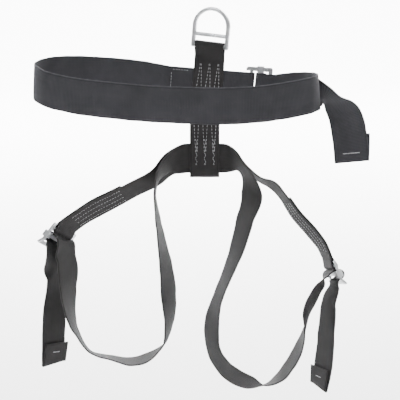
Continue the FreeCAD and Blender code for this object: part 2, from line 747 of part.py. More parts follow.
pieces = {
    "dee_ring": dee_ring(),
    "riser": tape(riser_sections(), LEG_WEB),
    "waist_belt": tape(belt, BELT_WEB),
    "upper_leg_strap": tape(upper_strap, LEG_WEB),
    "leg_loop_strap": tape(leg_loops, LEG_WEB),
    "riser_upper_stitching": riser_upper_stitching(),
    "riser_lower_stitching": riser_lower_stitching(),
    "belt_lap_stitching": belt_lap_stitching(),
    "left_lap_stitching": leg_lap_stitching(left_seat, crossing_ends[0], left_upper, LEFT_LAP),
    "right_lap_stitching": leg_lap_stitching(right_seat, crossing_ends[-1], right_upper, RIGHT_LAP),
    "waist_end_bar_tack": bar_tack(belt, BELT_FLAP + BELT_TACK_RISE, 1, WAIST_TACK),
    "left_end_bar_tack": bar_tack(list(reversed(leg_loops)), STOP_FLAP / 2, 1, LEG_TACK),
    "right_end_bar_tack": bar_tack(leg_loops, STOP_FLAP / 2, -1, LEG_TACK),
}
for name, seat in (("waist", waist_seat), ("left_leg", left_seat), ("right_leg", right_seat)):
    pieces[name + "_buckle_frame"] = buckle_frame(seat)
    pieces[name + "_slide_bar"] = slide_bar(seat)

for name, shape in pieces.items():
    shape.exportStep(f"parts/{name}.step")
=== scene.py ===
import math

import bpy
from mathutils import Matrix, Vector


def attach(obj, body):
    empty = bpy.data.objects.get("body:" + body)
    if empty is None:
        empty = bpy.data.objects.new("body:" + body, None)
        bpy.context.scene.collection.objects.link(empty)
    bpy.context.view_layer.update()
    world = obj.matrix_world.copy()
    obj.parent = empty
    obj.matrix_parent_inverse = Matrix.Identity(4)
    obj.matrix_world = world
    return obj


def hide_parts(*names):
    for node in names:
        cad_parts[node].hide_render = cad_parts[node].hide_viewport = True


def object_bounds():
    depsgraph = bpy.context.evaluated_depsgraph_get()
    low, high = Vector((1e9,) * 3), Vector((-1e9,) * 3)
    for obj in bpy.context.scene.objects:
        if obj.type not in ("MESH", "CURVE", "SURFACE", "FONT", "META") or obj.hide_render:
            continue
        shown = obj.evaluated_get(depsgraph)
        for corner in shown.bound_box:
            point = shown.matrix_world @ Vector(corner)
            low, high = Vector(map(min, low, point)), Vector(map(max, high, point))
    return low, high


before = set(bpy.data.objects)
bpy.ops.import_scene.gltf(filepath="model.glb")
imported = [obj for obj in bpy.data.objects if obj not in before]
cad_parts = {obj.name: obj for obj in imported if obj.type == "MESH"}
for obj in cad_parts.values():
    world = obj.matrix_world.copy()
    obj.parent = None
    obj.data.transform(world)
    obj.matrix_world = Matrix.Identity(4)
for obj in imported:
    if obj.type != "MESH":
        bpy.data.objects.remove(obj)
cad_low, cad_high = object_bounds()

# Tree climbing saddle. Lengths are in millimetres here and turned into metres where a mesh is made.
MM = 0.001

# ---- tapes -------------------------------------------------------------------------------------
LEG_WEB = 44.45           # width of the riser's and the leg straps' tape
BELT_WEB = 50.8           # width of the belt's tape
TAPE = 2.2                # thickness of both
LAYER = TAPE + 0.3        # between the middles of two tapes that are sewn together
FOLD_CLEAR = 0.6          # between a bar and the tape folded round it
CUP = 0.55                # how far a slack tape's middle stands out of its edges
RIPPLE = 0.15             # how far its selvedges wander out of its face
SWAY = 0.12               # and how far sideways
RIPPLE_LENGTHS = (61.0, 37.0, 23.0)

# ---- dee ring ----------------------------------------------------------------------------------
RING_YAW = 18.0           # degrees that the ring is turned about the vertical
RING_ROLL = 5.0           # and tipped to one side
RING_DROP = 28.0          # from the origin down to the crossbar in the riser's top fold
RING_BAR = 7.0            # thickness of that crossbar

# ---- riser -------------------------------------------------------------------------------------
RISER_BOTTOM = -220.5     # height of the bottom fold's centre
RISER_OPEN = 3.7          # from the middle plane to each layer where other tapes pass between them
RISER_SEWN = 1.3          # and where the layers are sewn together
RISER_JOIN = -149.0       # where the tape's two ends meet
RISER_LEAN = 7.5          # how far its lower part stands to the left of its top
TWIST_START = -33.0       # the ring's yaw and roll die out between these heights
TWIST_END = -57.0

# ---- belt and leg straps -----------------------------------------------------------------------
BELT_SLOPE = 0.08         # drop for each millimetre to the right
BELT_Z = -87.5            # height of the belt's middle at the riser
BELT_LAP = 112.0          # length sewn back on itself after the waist buckle
WAIST_BAR_X = 57.3        # the waist buckle's fixed bar
LEG_Z = -196.0            # height of the leg straps inside the riser
LEFT_LAP = 100.0          # length of the upper strap's end sewn back on itself
RIGHT_LAP = 112.0
STOP_FLAP = 28.0          # length of the flap folded over and sewn at each leg end
BELT_FLAP = 37.0          # and the one at the belt's end
STOP_TURN = 1.7           # radius of these folds
STOP_SKEW = 4.5           # how far each flap runs off to one side

# ---- buckles: u runs out from the fixed bar and n out of the frame's face -----------------------
FIXED_BAR = 5.0           # thickness of the fixed bar
WRAP_MIDDLE = 14.7        # the turn of tape over a slide bar: its middle along u,
WRAP_HALF = 7.2           # half its length along u,
WRAP_HEIGHT = 8.8         # its height
WRAP_RISE = 0.5           # and the n of its two feet
LEG_TUCK = 2.0            # how much further the leg tape tucks in behind its slide bar

# ---- stitches ----------------------------------------------------------------------------------
THREAD = 0.32             # half the width of a stitch
THREAD_SIDES = 8
THREAD_RINGS = 7
STITCH_FILL = 0.66        # share of each pitch that shows as thread
STITCH_WANDER = 0.12      # how unevenly the stitches are spaced
LOZENGE_PLACES = (-12.5, 0.5, 13.5)   # middles of the riser's three long narrow lozenges
LOZENGE_HALF = 5.0        # half their greatest width
LOZENGE_TOP = 18.0        # their upper end, widest point and lower end, along the riser
LOZENGE_MIDDLE = 74.0
LOZENGE_END = 152.0
LOZENGE_PITCH = 5.2
WAVY_START = 132.0        # the wavy rows that run down from inside their lower ends
WAVY_END = 176.0
WAVY_SWING = 1.6
WAVY_TURNS = 9
WAVY_PITCH = 3.6
BELT_PATCH = (-62, -34)   # the stretch of belt, in x, that is stitched beside the riser
BELT_ROW_INSET = 4.0      # from the belt's edges to its rows of stitches
BELT_ROW = (3.0, 27.0)    # from the start of that stretch to the two ends of those rows
BELT_CROSS_ROW = 2.0      # and the row that joins them
BELT_PITCH = 4.2
LAP_PLACES = (-15.0, -5.0, 5.0, 15.0)  # the rows on an upper strap's sewn end
LAP_SWINGS = (1.2, 0.4, 0.4, 1.2)
LAP_INSETS = (4.0, 14.0)  # from the lap's end and from the buckle to those rows
LAP_TURNS = 22
LAP_PITCH = 4.6
TACK_GAP = 0.8            # between two stitches of a bar tack
TACK_HALF = 0.9           # half a tack stitch, along the tape
TACK_LEAN = 0.3           # and across it
TACK_PITCH = 2.4          # more than a tack stitch's length, so each is laid as one thread
BELT_TACK_RISE = 19.0     # from the fold at the belt's end up to its tack
BELT_TACK = 24.0          # width of the belt's tack
LEG_TACK = 13.0           # and of the leg ends' tacks

# ---- fineness of the meshes --------------------------------------------------------------------
LONG_STEP = 3.2           # between two cross-sections on a free run
SHORT_STEP = 1.3          # and between stations less than SHORT_GAP apart, as on a tight turn
SHORT_GAP = 8.0
BAR_STEP = 1.5            # next to a fixed bar
STITCHED_STEP = 2.0       # under stitches
ACROSS_PLACES = 12        # points across each face of a tape
EDGE_TURN = 3             # points round each selvedge


def unit(x, y, z):
    return Vector((x, y, z)).normalized()


def square_to(direction, reference):
    """The part of direction that is square to the unit vector reference, as a unit vector."""
    return (direction - reference * direction.dot(reference)).normalized()


def blend(value, start, end):
    part = min(1.0, max(0.0, (value - start) / (end - start)))
    return part * part * (3 - 2 * part)


# ---- runs of webbing: each station is (centre, across, slack) ----------------------------------
def smooth(stations, step=None):
    """A smooth run of cross-sections through the stations."""
    count = len(stations)
    gaps = [(stations[i + 1][0] - stations[i][0]).length for i in range(count - 1)]

    def slope(i, which):
        if i == 0:
            return (stations[1][which] - stations[0][which]) / gaps[0]
        if i == count - 1:
            return (stations[-1][which] - stations[-2][which]) / gaps[-1]
        before = (stations[i][which] - stations[i - 1][which]) / gaps[i - 1]
        after = (stations[i + 1][which] - stations[i][which]) / gaps[i]
        return (before * gaps[i] + after * gaps[i - 1]) / (gaps[i - 1] + gaps[i])

    sections = []
    for i in range(count - 1):
        fine = step or (SHORT_STEP if gaps[i] < SHORT_GAP else LONG_STEP)
        pieces = max(1, math.ceil(gaps[i] / fine))
        for k in range(pieces):
            t = k / pieces
            weights = (2 * t**3 - 3 * t**2 + 1, t**3 - 2 * t**2 + t, 3 * t**2 - 2 * t**3, t**3 - t**2)
            values = []
            for which in (0, 1):
                value = stations[i][which] * weights[0] + slope(i, which) * (weights[1] * gaps[i])
                value += stations[i + 1][which] * weights[2]
                value += slope(i + 1, which) * (weights[3] * gaps[i])
                values.append(value)
            slack = stations[i][2] + (stations[i + 1][2] - stations[i][2]) * blend(t, 0, 1)
            sections.append((values[0], values[1].normalized(), slack))
    sections.append(stations[-1])
    return sections


def faced(sections):
    """Each section as (centre, across, face, slack), with face the unit vector out of its face."""
    result = []
    last = len(sections) - 1
    for i, (centre, across, slack) in enumerate(sections):
        along = (sections[min(i + 1, last)][0] - sections[max(i - 1, 0)][0]).normalized()
        across = square_to(across, along)
        result.append((centre, across, along.cross(across), slack))
    return result


def run_length(sections):
    return sum((sections[i + 1][0] - sections[i][0]).length for i in range(len(sections) - 1))


def last_stretch(sections, length):
    """The sections of the last length of a run."""
    total = 0.0
    first = len(sections) - 1
    while first > 0 and total < length:
        total += (sections[first][0] - sections[first - 1][0]).length
        first -= 1
    return sections[first:]


def lapped(sections, offset, length):
    """A second layer that runs back over the last length of a run, offset out of its face."""
    stretch = last_stretch(sections, length)
    return [(centre + face * offset, across, 0.0) for centre, across, face, slack in reversed(faced(stretch))]


def folded_end(sections, side, skew, length=STOP_FLAP):
    """A run with its end turned over on one side, as a flap that runs off to one side by skew."""
    centre, across, face, slack = faced(sections)[-1]
    along = across.cross(face)
    turn = []
    for degrees in (30, 60, 90, 120, 150):
        angle = math.radians(degrees)
        out = face * (side * STOP_TURN * (1 - math.cos(angle)))
        turn.append((centre + along * (STOP_TURN * math.sin(angle)) + out, across, 0.0))
    under_flap = 12  # sections that lie flat under the flap
    flat = [(point, over, 0.0) for point, over, slack in sections[-under_flap:]]
    flap = lapped(sections, side * 2 * STOP_TURN, length)
    last = len(flap) - 1
    flap = [(point + over * (skew * i / last), over, 0.0) for i, (point, over, slack) in enumerate(flap)]
    return sections[:-under_flap] + flat + turn + flap


def rows(table, slack=1.0):
    """Stations from rows of (x, y, z, direction across the tape)."""
    return [(Vector((x, y, z)), unit(*across), slack) for x, y, z, across in table]


class Seat:
    """Where a buckle sits: the centre of its fixed bar, and its u, v and n directions."""

    def __init__(self, centre, along, upper, outer_side):
        self.centre = Vector(centre)
        self.u = along
        self.v = square_to(Vector(upper), along)
        self.n = self.u.cross(self.v) * outer_side
        self.outer_side = outer_side  # 1 or -1: on which side of u x v the outer face lies

    def point(self, u, n, v=0.0):
        return self.centre + self.u * u + self.n * n + self.v * v

    def station(self, u, n, v=0.0):
        return (self.point(u, n, v), self.v.copy(), 0.0)


def belt_height(x):
    return BELT_Z - BELT_SLOPE * (x + RISER_LEAN)


waist_seat = Seat((WAIST_BAR_X, 0, belt_height(WAIST_BAR_X)), unit(1, 0, -BELT_SLOPE), (0, 0, 1), -1)
left_seat = Seat((-224, -18, -307), unit(-0.62, -0.18, -0.78), (-0.5, -0.77, 0.4), 1)
right_seat = Seat((182, -16.5, -359.5), unit(0.364, -0.21, -0.916), (0.13, -0.92, 0.387), -1)

BAR_LOOP = FIXED_BAR / 2 + FOLD_CLEAR + TAPE / 2


def round_fixed_bar(seat):
    turn = []
    for degrees in range(-90, 91, 30):
        angle = math.radians(degrees)
        turn.append(seat.station(BAR_LOOP * math.cos(angle), BAR_LOOP * math.sin(angle)))
    return turn


def over_slide_bar(seat, tuck=0.0):
    """The tape's turn over a slide bar: up on the fixed bar's side, over it and down on the far side."""
    near = WRAP_MIDDLE - WRAP_HALF
    route = [seat.station(near + 1.2 - tuck, -4.5), seat.station(near - 0.85 * tuck, -1.5 - 0.65 * tuck)]
    for degrees in range(180, -1, -30):
        angle = math.radians(degrees)
        u = WRAP_MIDDLE + WRAP_HALF * math.cos(angle)
        route.append(seat.station(u, WRAP_RISE + WRAP_HEIGHT * math.sin(angle)))
    route.append(seat.station(WRAP_MIDDLE + WRAP_HALF + 0.4, -2.0))
    return route


ring_x = unit(
    math.cos(math.radians(RING_YAW)) * math.cos(math.radians(RING_ROLL)),
    -math.sin(math.radians(RING_YAW)) * math.cos(math.radians(RING_ROLL)),
    -math.sin(math.radians(RING_ROLL)),
)
ring_y = square_to(unit(math.sin(math.radians(RING_YAW)), math.cos(math.radians(RING_YAW)), 0), ring_x)
ring_z = ring_x.cross(ring_y)
ring_bar_centre = ring_z * -RING_DROP


# ---- riser -------------------------------------------------------------------------------------
def riser_place(z):
    square = blend(z, TWIST_START, TWIST_END)
    yaw = math.radians(RING_YAW * (1 - square))
    roll = math.radians(RING_ROLL * (1 - square))
    across = Vector((math.cos(yaw) * math.cos(roll), -math.sin(yaw) * math.cos(roll), -math.sin(roll)))
    lean = blend(z, ring_bar_centre.z, -150)
    centre = Vector((ring_bar_centre.x - RISER_LEAN * lean, ring_bar_centre.y * (1 - square), z))
    return centre, across, Vector((math.sin(yaw), math.cos(yaw), 0))


riser_layer = [
    (-36, 3.8),
    (-43, RISER_SEWN + 0.1),
    (-49, RISER_SEWN + 0.2),
    (-57, RISER_OPEN),
    (-75, RISER_OPEN),
    (-100, RISER_OPEN),
    (-115, RISER_OPEN),
    (-122, RISER_SEWN + 0.4),
    (-130, RISER_SEWN),
    (-147, RISER_SEWN),
    (-160, RISER_SEWN + 0.2),
    (-170, RISER_OPEN),
    (-185, RISER_OPEN),
    (-205, RISER_OPEN),
]


def riser_station(z, depth):
    centre, across, out = riser_place(z)
    return (centre + out * depth, across, 0.0)


def riser_sections():
    bar_loop = RING_BAR / 2 + FOLD_CLEAR + TAPE / 2
    top_z = ring_bar_centre.z
    outer = [riser_station(z, depth) for z, depth in riser_layer if z > RISER_JOIN + 1]
    body = [riser_station(z, -depth) for z, depth in riser_layer]
    tail = [riser_station(z, depth) for z, depth in riser_layer if z < RISER_JOIN - 1]
    over = []
    for degrees in range(0, 181, 30):
        angle = math.radians(degrees)
        centre, across, slack = riser_station(top_z, bar_loop * math.cos(angle))
        over.append((centre + ring_z * (bar_loop * math.sin(angle)), across, slack))
    under = []
    for degrees in range(180, 361, 30):
        angle = math.radians(degrees)
        centre, across, slack = riser_station(RISER_BOTTOM, RISER_OPEN * math.cos(angle))
        under.append((centre + Vector((0, 0, RISER_OPEN * math.sin(angle))), across, slack))
    start = riser_station(RISER_JOIN + 1, RISER_SEWN)
    end = riser_station(RISER_JOIN - 1, RISER_SEWN)
    return smooth([start] + outer[::-1] + over + body + under + tail[::-1] + [end])


# ---- waist belt --------------------------------------------------------------------------------
UPRIGHT = (0, 0, 1)

belt_round = rows([
    (-105, -2, -75, (0.05, 0.0, 1)),
    (-163, -7, -69, (0.05, 0.0, 1)),
    (-206, -21, -66, (0.05, 0.05, 1)),
    (-237, -47, -66, (0.08, 0.0, 1)),
    (-250, -80, -70, (0.08, -0.1, 1)),
    (-235, -108, -76, (0.06, -0.1, 1)),
    (-195, -132, -83, (0.03, -0.1, 1)),
    (-138, -149, -88, (0.02, -0.1, 1)),
    (-84, -155, -92, (0.01, -0.1, 1)),
    (-30, -157, -94, (0, -0.08, 1)),
    (10, -156, -95, (0, -0.05, 1)),
    (56, -149, -94, (0, -0.05, 1)),
    (106, -130, -90, (-0.02, 0, 1)),
    (141, -105, -86, (-0.03, 0, 1)),
    (150.5, -82, -85, (-0.09, 0, 1)),
    (146, -58, -86, (-0.05, 0, 1)),
    (128, -28, -89, UPRIGHT),
    (112, -13, -92, UPRIGHT),
])

belt_tail = rows([
    (111, -5, -93, UPRIGHT),
    (131, -17, -92, UPRIGHT),
    (149, -35, -90, (-0.1, -0.3, 0.95)),
    (162, -46, -94, (-0.05, -0.72, 0.7)),
    (174, -47, -103, (0.1, -0.84, 0.54)),
    (185, -44, -113, (0.42, -0.66, 0.62)),
    (193, -41, -124, (0.74, -0.42, 0.52)),
    (198.5, -40, -141, (0.91, -0.16, 0.37)),
    (203, -40, -166, (0.97, -0.1, 0.2)),
    (206, -40, -192, (0.98, -0.1, 0.16)),
])


def belt_far_station(x):
    return (Vector((x, -LAYER / 2, belt_height(x))), waist_seat.v.copy(), 0.0)


def belt_sections():
    seat = waist_seat
    straight = smooth([belt_far_station(x) for x in (-62, -20, 20, WAIST_BAR_X - 18)])
    into_loop = smooth([straight[-1], seat.station(-9, -2.6), seat.station(0, -BAR_LOOP)], BAR_STEP)
    leaving = [seat.station(0, BAR_LOOP), seat.station(-9, 2.6), seat.station(-18, LAYER / 2)]
    out_of_loop = smooth(leaving, BAR_STEP)
    lap = lapped(straight, -LAYER, BELT_LAP)
    loop = smooth(round_fixed_bar(seat))
    start = (out_of_loop[1:-1] + lap)[::-1]
    sewn = start + loop[::-1] + into_loop[1:-1][::-1] + straight[::-1]
    entry = [seat.station(34, -6.6), seat.station(24, -6.4), seat.station(13, -6.2)]
    away = [seat.station(25, -3.4), seat.station(34, -3.6)]
    free = smooth([sewn[-1]] + belt_round + entry + over_slide_bar(seat) + away + belt_tail)
    return folded_end(sewn + free[1:], -1, STOP_SKEW, BELT_FLAP)


# ---- leg straps --------------------------------------------------------------------------------
left_loop = rows([
    (-61, -12, -201, (-0.04, -0.6, 0.8)),
    (-75, -17, -216, (-0.06, -0.83, 0.55)),
    (-83.5, -19, -240, (0.0, -0.97, 0.25)),
    (-81, -20, -279, (-0.1, -0.96, 0.25)),
    (-76.5, -20, -310, (-0.2, -0.95, 0.25)),
    (-69, -20, -357, (-0.38, -0.89, 0.26)),
    (-64.5, -20, -403, (-0.47, -0.84, 0.27)),
    (-64, -19, -454, (-0.23, -0.92, 0.32)),
    (-72, -18, -485, (0.02, -0.94, 0.35)),
    (-95, -17, -506, (0.08, -0.99, 0.07)),
    (-124, -17, -514, (0.12, -0.99, 0.08)),
    (-153, -18, -508, (0.08, -0.98, 0.19)),
    (-185, -19, -498, (0.06, -0.96, 0.29)),
    (-206, -20, -465, (-0.03, -0.96, 0.27)),
    (-214.5, -22, -434, (-0.23, -0.95, 0.21)),
    (-217, -23, -399, (-0.42, -0.89, 0.18)),
    (-217, -24, -363, (-0.58, -0.79, 0.17)),
    (-219.5, -23, -342, (-0.52, -0.78, 0.28)),
])

right_loop = rows([
    (40, -11, -203, (-0.03, -0.75, 0.66)),
    (54.5, -16, -221, (0.25, -0.87, 0.42)),
    (60.5, -18, -249, (0.6, -0.66, 0.45)),
    (50.5, -19, -287, (0.54, -0.81, 0.22)),
    (38, -20, -334, (0.45, -0.86, 0.24)),
    (23, -20, -375, (0.34, -0.9, 0.27)),
    (8, -19, -418, (0.34, -0.89, 0.3)),
    (1.5, -18, -453, (0.47, -0.83, 0.3)),
    (2.5, -17, -487, (0.44, -0.84, 0.31)),
    (13.5, -16, -514, (0.37, -0.73, 0.57)),
    (36, -16, -538, (0.19, -0.61, 0.77)),
    (60.5, -17, -549, (0.01, -0.66, 0.75)),
    (84, -18, -552.5, (-0.06, -0.93, 0.35)),
    (104.5, -18, -541, (0.15, -0.97, 0.18)),
    (125, -19, -514.5, (0.23, -0.95, 0.19)),
    (138, -20, -486, (0.14, -0.97, 0.18)),
    (146, -21, -454, (-0.11, -0.94, 0.31)),
    (149, -22, -428.5, (-0.36, -0.86, 0.36)),
    (157, -23, -406, (-0.42, -0.86, 0.28)),
    (167.5, -23, -387, (-0.34, -0.88, 0.32)),
])

left_tail = rows([
    (-237, -13, -371, (-0.4, -0.87, 0.28)),
    (-241.5, -10, -439, (-0.69, -0.71, 0.15)),
    (-244.5, -8, -487, (-0.7, -0.71, 0.08)),
    (-246, -7, -518, (-0.7, -0.71, 0.02)),
])

right_tail = rows([
    (181.5, -18, -417, (0.36, -0.88, 0.3)),
    (178.5, -16, -458, (0.42, -0.86, 0.3)),
    (177, -14, -495, (0.48, -0.86, 0.16)),
    (174.5, -13, -527, (0.5, -0.85, 0.12)),
    (170.5, -13, -555, (0.45, -0.88, 0.12)),
])

left_upper = rows([
    (-61, 2, -206, (-0.02, -0.44, 0.89)),
    (-84, -1, -226, (-0.09, -0.68, 0.73)),
    (-116, -6, -242, (-0.22, -0.75, 0.62)),
    (-145, -9, -257, (-0.24, -0.73, 0.64)),
    (-173, -12, -271, (-0.26, -0.71, 0.66)),
    (-198, -14.5, -286, (-0.4, -0.76, 0.51)),
], 0.0)

right_upper = rows([
    (38, 2, -201, (-0.1, -0.74, 0.66)),
    (59, -3, -216, (-0.08, -0.92, 0.38)),
    (74, -6, -228, (0.04, -0.94, 0.33)),
    (92, -9, -235.5, (0.11, -0.9, 0.41)),
    (107, -11, -251.5, (0.16, -0.93, 0.3)),
    (127.5, -13, -281, (0.18, -0.91, 0.38)),
    (152, -14, -309, (0.2, -0.89, 0.39)),
    (168, -14, -331, (0.12, -0.9, 0.42)),
], 0.0)


def riser_crossing(depth):
    middle = riser_place(LEG_Z)[0].x
    reach = LEG_WEB / 2 + 5
    places = (-reach, -reach + 4, -reach / 2, 0, reach / 2, reach - 4, reach)
    return [(Vector((middle + x, depth, LEG_Z)), Vector((0, 0, 1)), 0.0) for x in places]


def leg_loop_end(seat, loop, tail, exit_depth):
    entry = [seat.station(8.4, -9.5, -1)]
    away = [seat.station(25, -4.4), seat.station(31, exit_depth, -1.5)]
    return loop + entry + over_slide_bar(seat, LEG_TUCK) + away + tail


def leg_loop_sections():
    left = leg_loop_end(left_seat, left_loop, left_tail, -10)
    right = leg_loop_end(right_seat, right_loop, right_tail, -6)
    crossing = riser_crossing(-LAYER / 2)
    run = folded_end(smooth(left[::-1] + crossing + right), 1, -STOP_SKEW)
    return folded_end(run[::-1], -1, -STOP_SKEW)[::-1]


def upper_run(seat, crossing_end, table):
    """The upper strap's own layer, from the riser to its buckle."""
    return smooth([crossing_end] + table + [seat.station(-12, -LAYER / 2 - 0.3)])


def upper_strap_end(seat, crossing_end, table, lap_length):
    run = upper_run(seat, crossing_end, table)
    into_loop = smooth([run[-1], seat.station(-6, -2.8), seat.station(0, -BAR_LOOP)], BAR_STEP)
    out_of_loop = smooth([seat.station(0, BAR_LOOP), seat.station(-6, 2.6)], BAR_STEP)
    lap = lapped(run, seat.outer_side * LAYER, lap_length)
    return run[1:] + into_loop[1:-1] + smooth(round_fixed_bar(seat)) + out_of_loop[1:] + lap[1:]


def upper_strap_sections():
    crossing = riser_crossing(LAYER / 2)
    left = upper_strap_end(left_seat, crossing[0], left_upper, LEFT_LAP)
    right = upper_strap_end(right_seat, crossing[-1], right_upper, RIGHT_LAP)
    return left[::-1] + crossing + right


# ---- meshes ------------------------------------------------------------------------------------
def add_object(name, mesh, body, material):
    obj = bpy.data.objects.new(name, mesh)
    bpy.context.scene.collection.objects.link(obj)
    obj.data.materials.append(material)
    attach(obj, body)
    return obj


def cross_section(width):
    """Points round a tape's section, each (across, out)."""
    half = width / 2
    thick = TAPE / 2
    flat = half - thick
    points = []
    for i in range(ACROSS_PLACES + 1):
        points.append((-flat + 2 * flat * i / ACROSS_PLACES, thick))
    for i in range(1, EDGE_TURN + 1):
        angle = math.pi * i / (EDGE_TURN + 1)
        points.append((flat + thick * math.sin(angle), thick * math.cos(angle)))
    for i in range(ACROSS_PLACES + 1):
        points.append((flat - 2 * flat * i / ACROSS_PLACES, -thick))
    for i in range(1, EDGE_TURN + 1):
        angle = math.pi * i / (EDGE_TURN + 1)
        points.append((-flat - thick * math.sin(angle), -thick * math.cos(angle)))
    return points


def tape_points(placed, ring, width, phase):
    """The tape's vertices, and how far along it each cross-section lies."""
    vertices = []
    along = []
    distance = 0.0
    for i, (centre, across, face, slack) in enumerate(placed):
        if i:
            distance += (centre - placed[i - 1][0]).length
        along.append(distance)
        wave = [
            math.sin(2 * math.pi * distance / length + phase * k)
            for k, length in enumerate(RIPPLE_LENGTHS, 1)
        ]
        cup = CUP * slack * (0.6 + 0.4 * wave[0])
        for v, out in ring:
            part = 2 * v / width
            lift = cup * (0.4 - part * part)
            lift += RIPPLE * slack * part**3 * (wave[1] + wave[2])
            sway = SWAY * slack * abs(part) * (wave[2] if part > 0 else wave[1])
            point = centre + across * (v + sway) + face * (out + lift)
            vertices.append(point * MM)
    return vertices, along


def tube_faces(rings, count):
    """Quads along a tube of cross-sections, then its two end faces."""
    faces = []
    for i in range(rings - 1):
        for k in range(count):
            a = i * count + k
            b = i * count + (k + 1) % count
            faces.append((a, a + count, b + count, b))
    last_ring = (rings - 1) * count
    faces.append(tuple(range(count)))
    faces.append(tuple(last_ring + k for k in reversed(range(count))))
    return faces


def lay_weave(mesh, ring, along, width, first_end):
    """Smooth shading and UVs of (along, across) in dm; the faces from first_end on are the ends."""
    count = len(ring)
    round_ring = [0.0]
    for k in range(count):
        v0, out0 = ring[k]
        v1, out1 = ring[(k + 1) % count]
        round_ring.append(round_ring[-1] + math.hypot(v1 - v0, out1 - out0))
    layer = mesh.uv_layers.new(name="weave")
    for polygon in mesh.polygons:
        polygon.use_smooth = polygon.index < first_end
        for corner, loop in enumerate(polygon.loop_indices):
            vertex = mesh.loops[loop].vertex_index
            k = vertex % count
            place = round_ring[k]
            if polygon.index < first_end and corner in (2, 3) and k == 0:
                place = round_ring[count]
            if polygon.index >= first_end:
                layer.data[loop].uv = (along[vertex // count] / 100 + ring[k][1] / 100, ring[k][0] / 100)
            else:
                layer.data[loop].uv = (along[vertex // count] / 100, (place - width / 2 + TAPE / 2) / 100)


def tape_mesh(name, sections, width, phase):
    """A woven tape with rounded selvedges, a slight cup and slack edges."""
    placed = faced(sections)
    ring = cross_section(width)
    vertices, along = tape_points(placed, ring, width, phase)
    faces = tube_faces(len(placed), len(ring))
    mesh = bpy.data.meshes.new(name)
    mesh.from_pydata(vertices, [], faces)
    lay_weave(mesh, ring, along, width, len(faces) - 2)
    mesh.validate()
    mesh.update()
    return mesh


def surface_at(sections, distance):
    """Centre, across and face of a run at a distance along it."""
    for i in range(len(sections) - 1):
        gap = (sections[i + 1][0] - sections[i][0]).length
        if distance <= gap or i == len(sections) - 2:
            part = min(1.0, distance / gap)
            centre = sections[i][0].lerp(sections[i + 1][0], part)
            across = sections[i][1].lerp(sections[i + 1][1], part).normalized()
            face = sections[i][2].lerp(sections[i + 1][2], part).normalized()
            return centre, across, face
        distance -= gap
    return sections[-1][:3]


def thread_mesh(name, stitches):
    """Stitches, each (start, end, outward): rounded threads that dive into the webbing at each end."""
    vertices = []
    faces = []
    twist = []
    for start, end, out in stitches:
        along = (end - start).normalized()
        side = out.cross(along)
        first = len(vertices)
        length = (end - start).length
        for i in range(THREAD_RINGS):
            t = i / (THREAD_RINGS - 1)
            bulge = math.sin(math.pi * (0.08 + 0.84 * t)) ** 0.5
            stands_proud = THREAD * (1.5 * bulge - 1.05)
            centre = start.lerp(end, t) + out * stands_proud
            for k in range(THREAD_SIDES):
                angle = 2 * math.pi * k / THREAD_SIDES
                offset = side * (math.cos(angle) * THREAD * 1.1 * bulge)
                offset += out * (math.sin(angle) * THREAD * 0.8 * bulge)
                vertices.append((centre + offset) * MM)
                twist.append((t * length / 100, k / THREAD_SIDES))
        for i in range(THREAD_RINGS - 1):
            for k in range(THREAD_SIDES):
                a = first + i * THREAD_SIDES + k
                b = first + i * THREAD_SIDES + (k + 1) % THREAD_SIDES
                faces.append((a, b, b + THREAD_SIDES, a + THREAD_SIDES))
        faces.append(tuple(first + k for k in reversed(range(THREAD_SIDES))))
        last = first + (THREAD_RINGS - 1) * THREAD_SIDES
        faces.append(tuple(last + k for k in range(THREAD_SIDES)))
    mesh = bpy.data.meshes.new(name)
    mesh.from_pydata(vertices, [], faces)
    layer = mesh.uv_layers.new(name="twist")
    for polygon in mesh.polygons:
        polygon.use_smooth = True
        for loop in polygon.loop_indices:
            layer.data[loop].uv = twist[mesh.loops[loop].vertex_index]
    mesh.update()
    return mesh


def stitch_row(placed, side, path, pitch, fill=STITCH_FILL):
    """Stitches along a path of (distance along, distance across) points on one side of a tape."""
    lengths = [math.dist(path[i], path[i + 1]) for i in range(len(path) - 1)]
    total = sum(lengths)
    count = max(1, round(total / pitch))

    def at(distance):
        for i, length in enumerate(lengths):
            if distance <= length or i == len(lengths) - 1:
                part = distance / length
                s = path[i][0] + (path[i + 1][0] - path[i][0]) * part
                v = path[i][1] + (path[i + 1][1] - path[i][1]) * part
                centre, across, face = surface_at(placed, s)
                return centre + across * v + face * (side * TAPE / 2), face * side
            distance -= length

    stitches = []
    for k in range(count):
        wander = STITCH_WANDER * math.sin(k * 2.4 + total)
        middle = (k + 0.5) * total / count + wander
        half = fill * total / count / 2
        start, out = at(max(0.0, middle - half))
        end, out_end = at(min(total, middle + half))
        stitches.append((start, end, (out + out_end).normalized()))
    return stitches


def zigzag(start, end, swing, turns):
    """A path from start to end that swings from side to side."""
    path = []
    for i in range(turns + 1):
        part = i / turns
        s = start[0] + (end[0] - start[0]) * part
        v = start[1] + (end[1] - start[1]) * part
        path.append((s, v + swing * (1 if i % 2 else -1)))
    return path


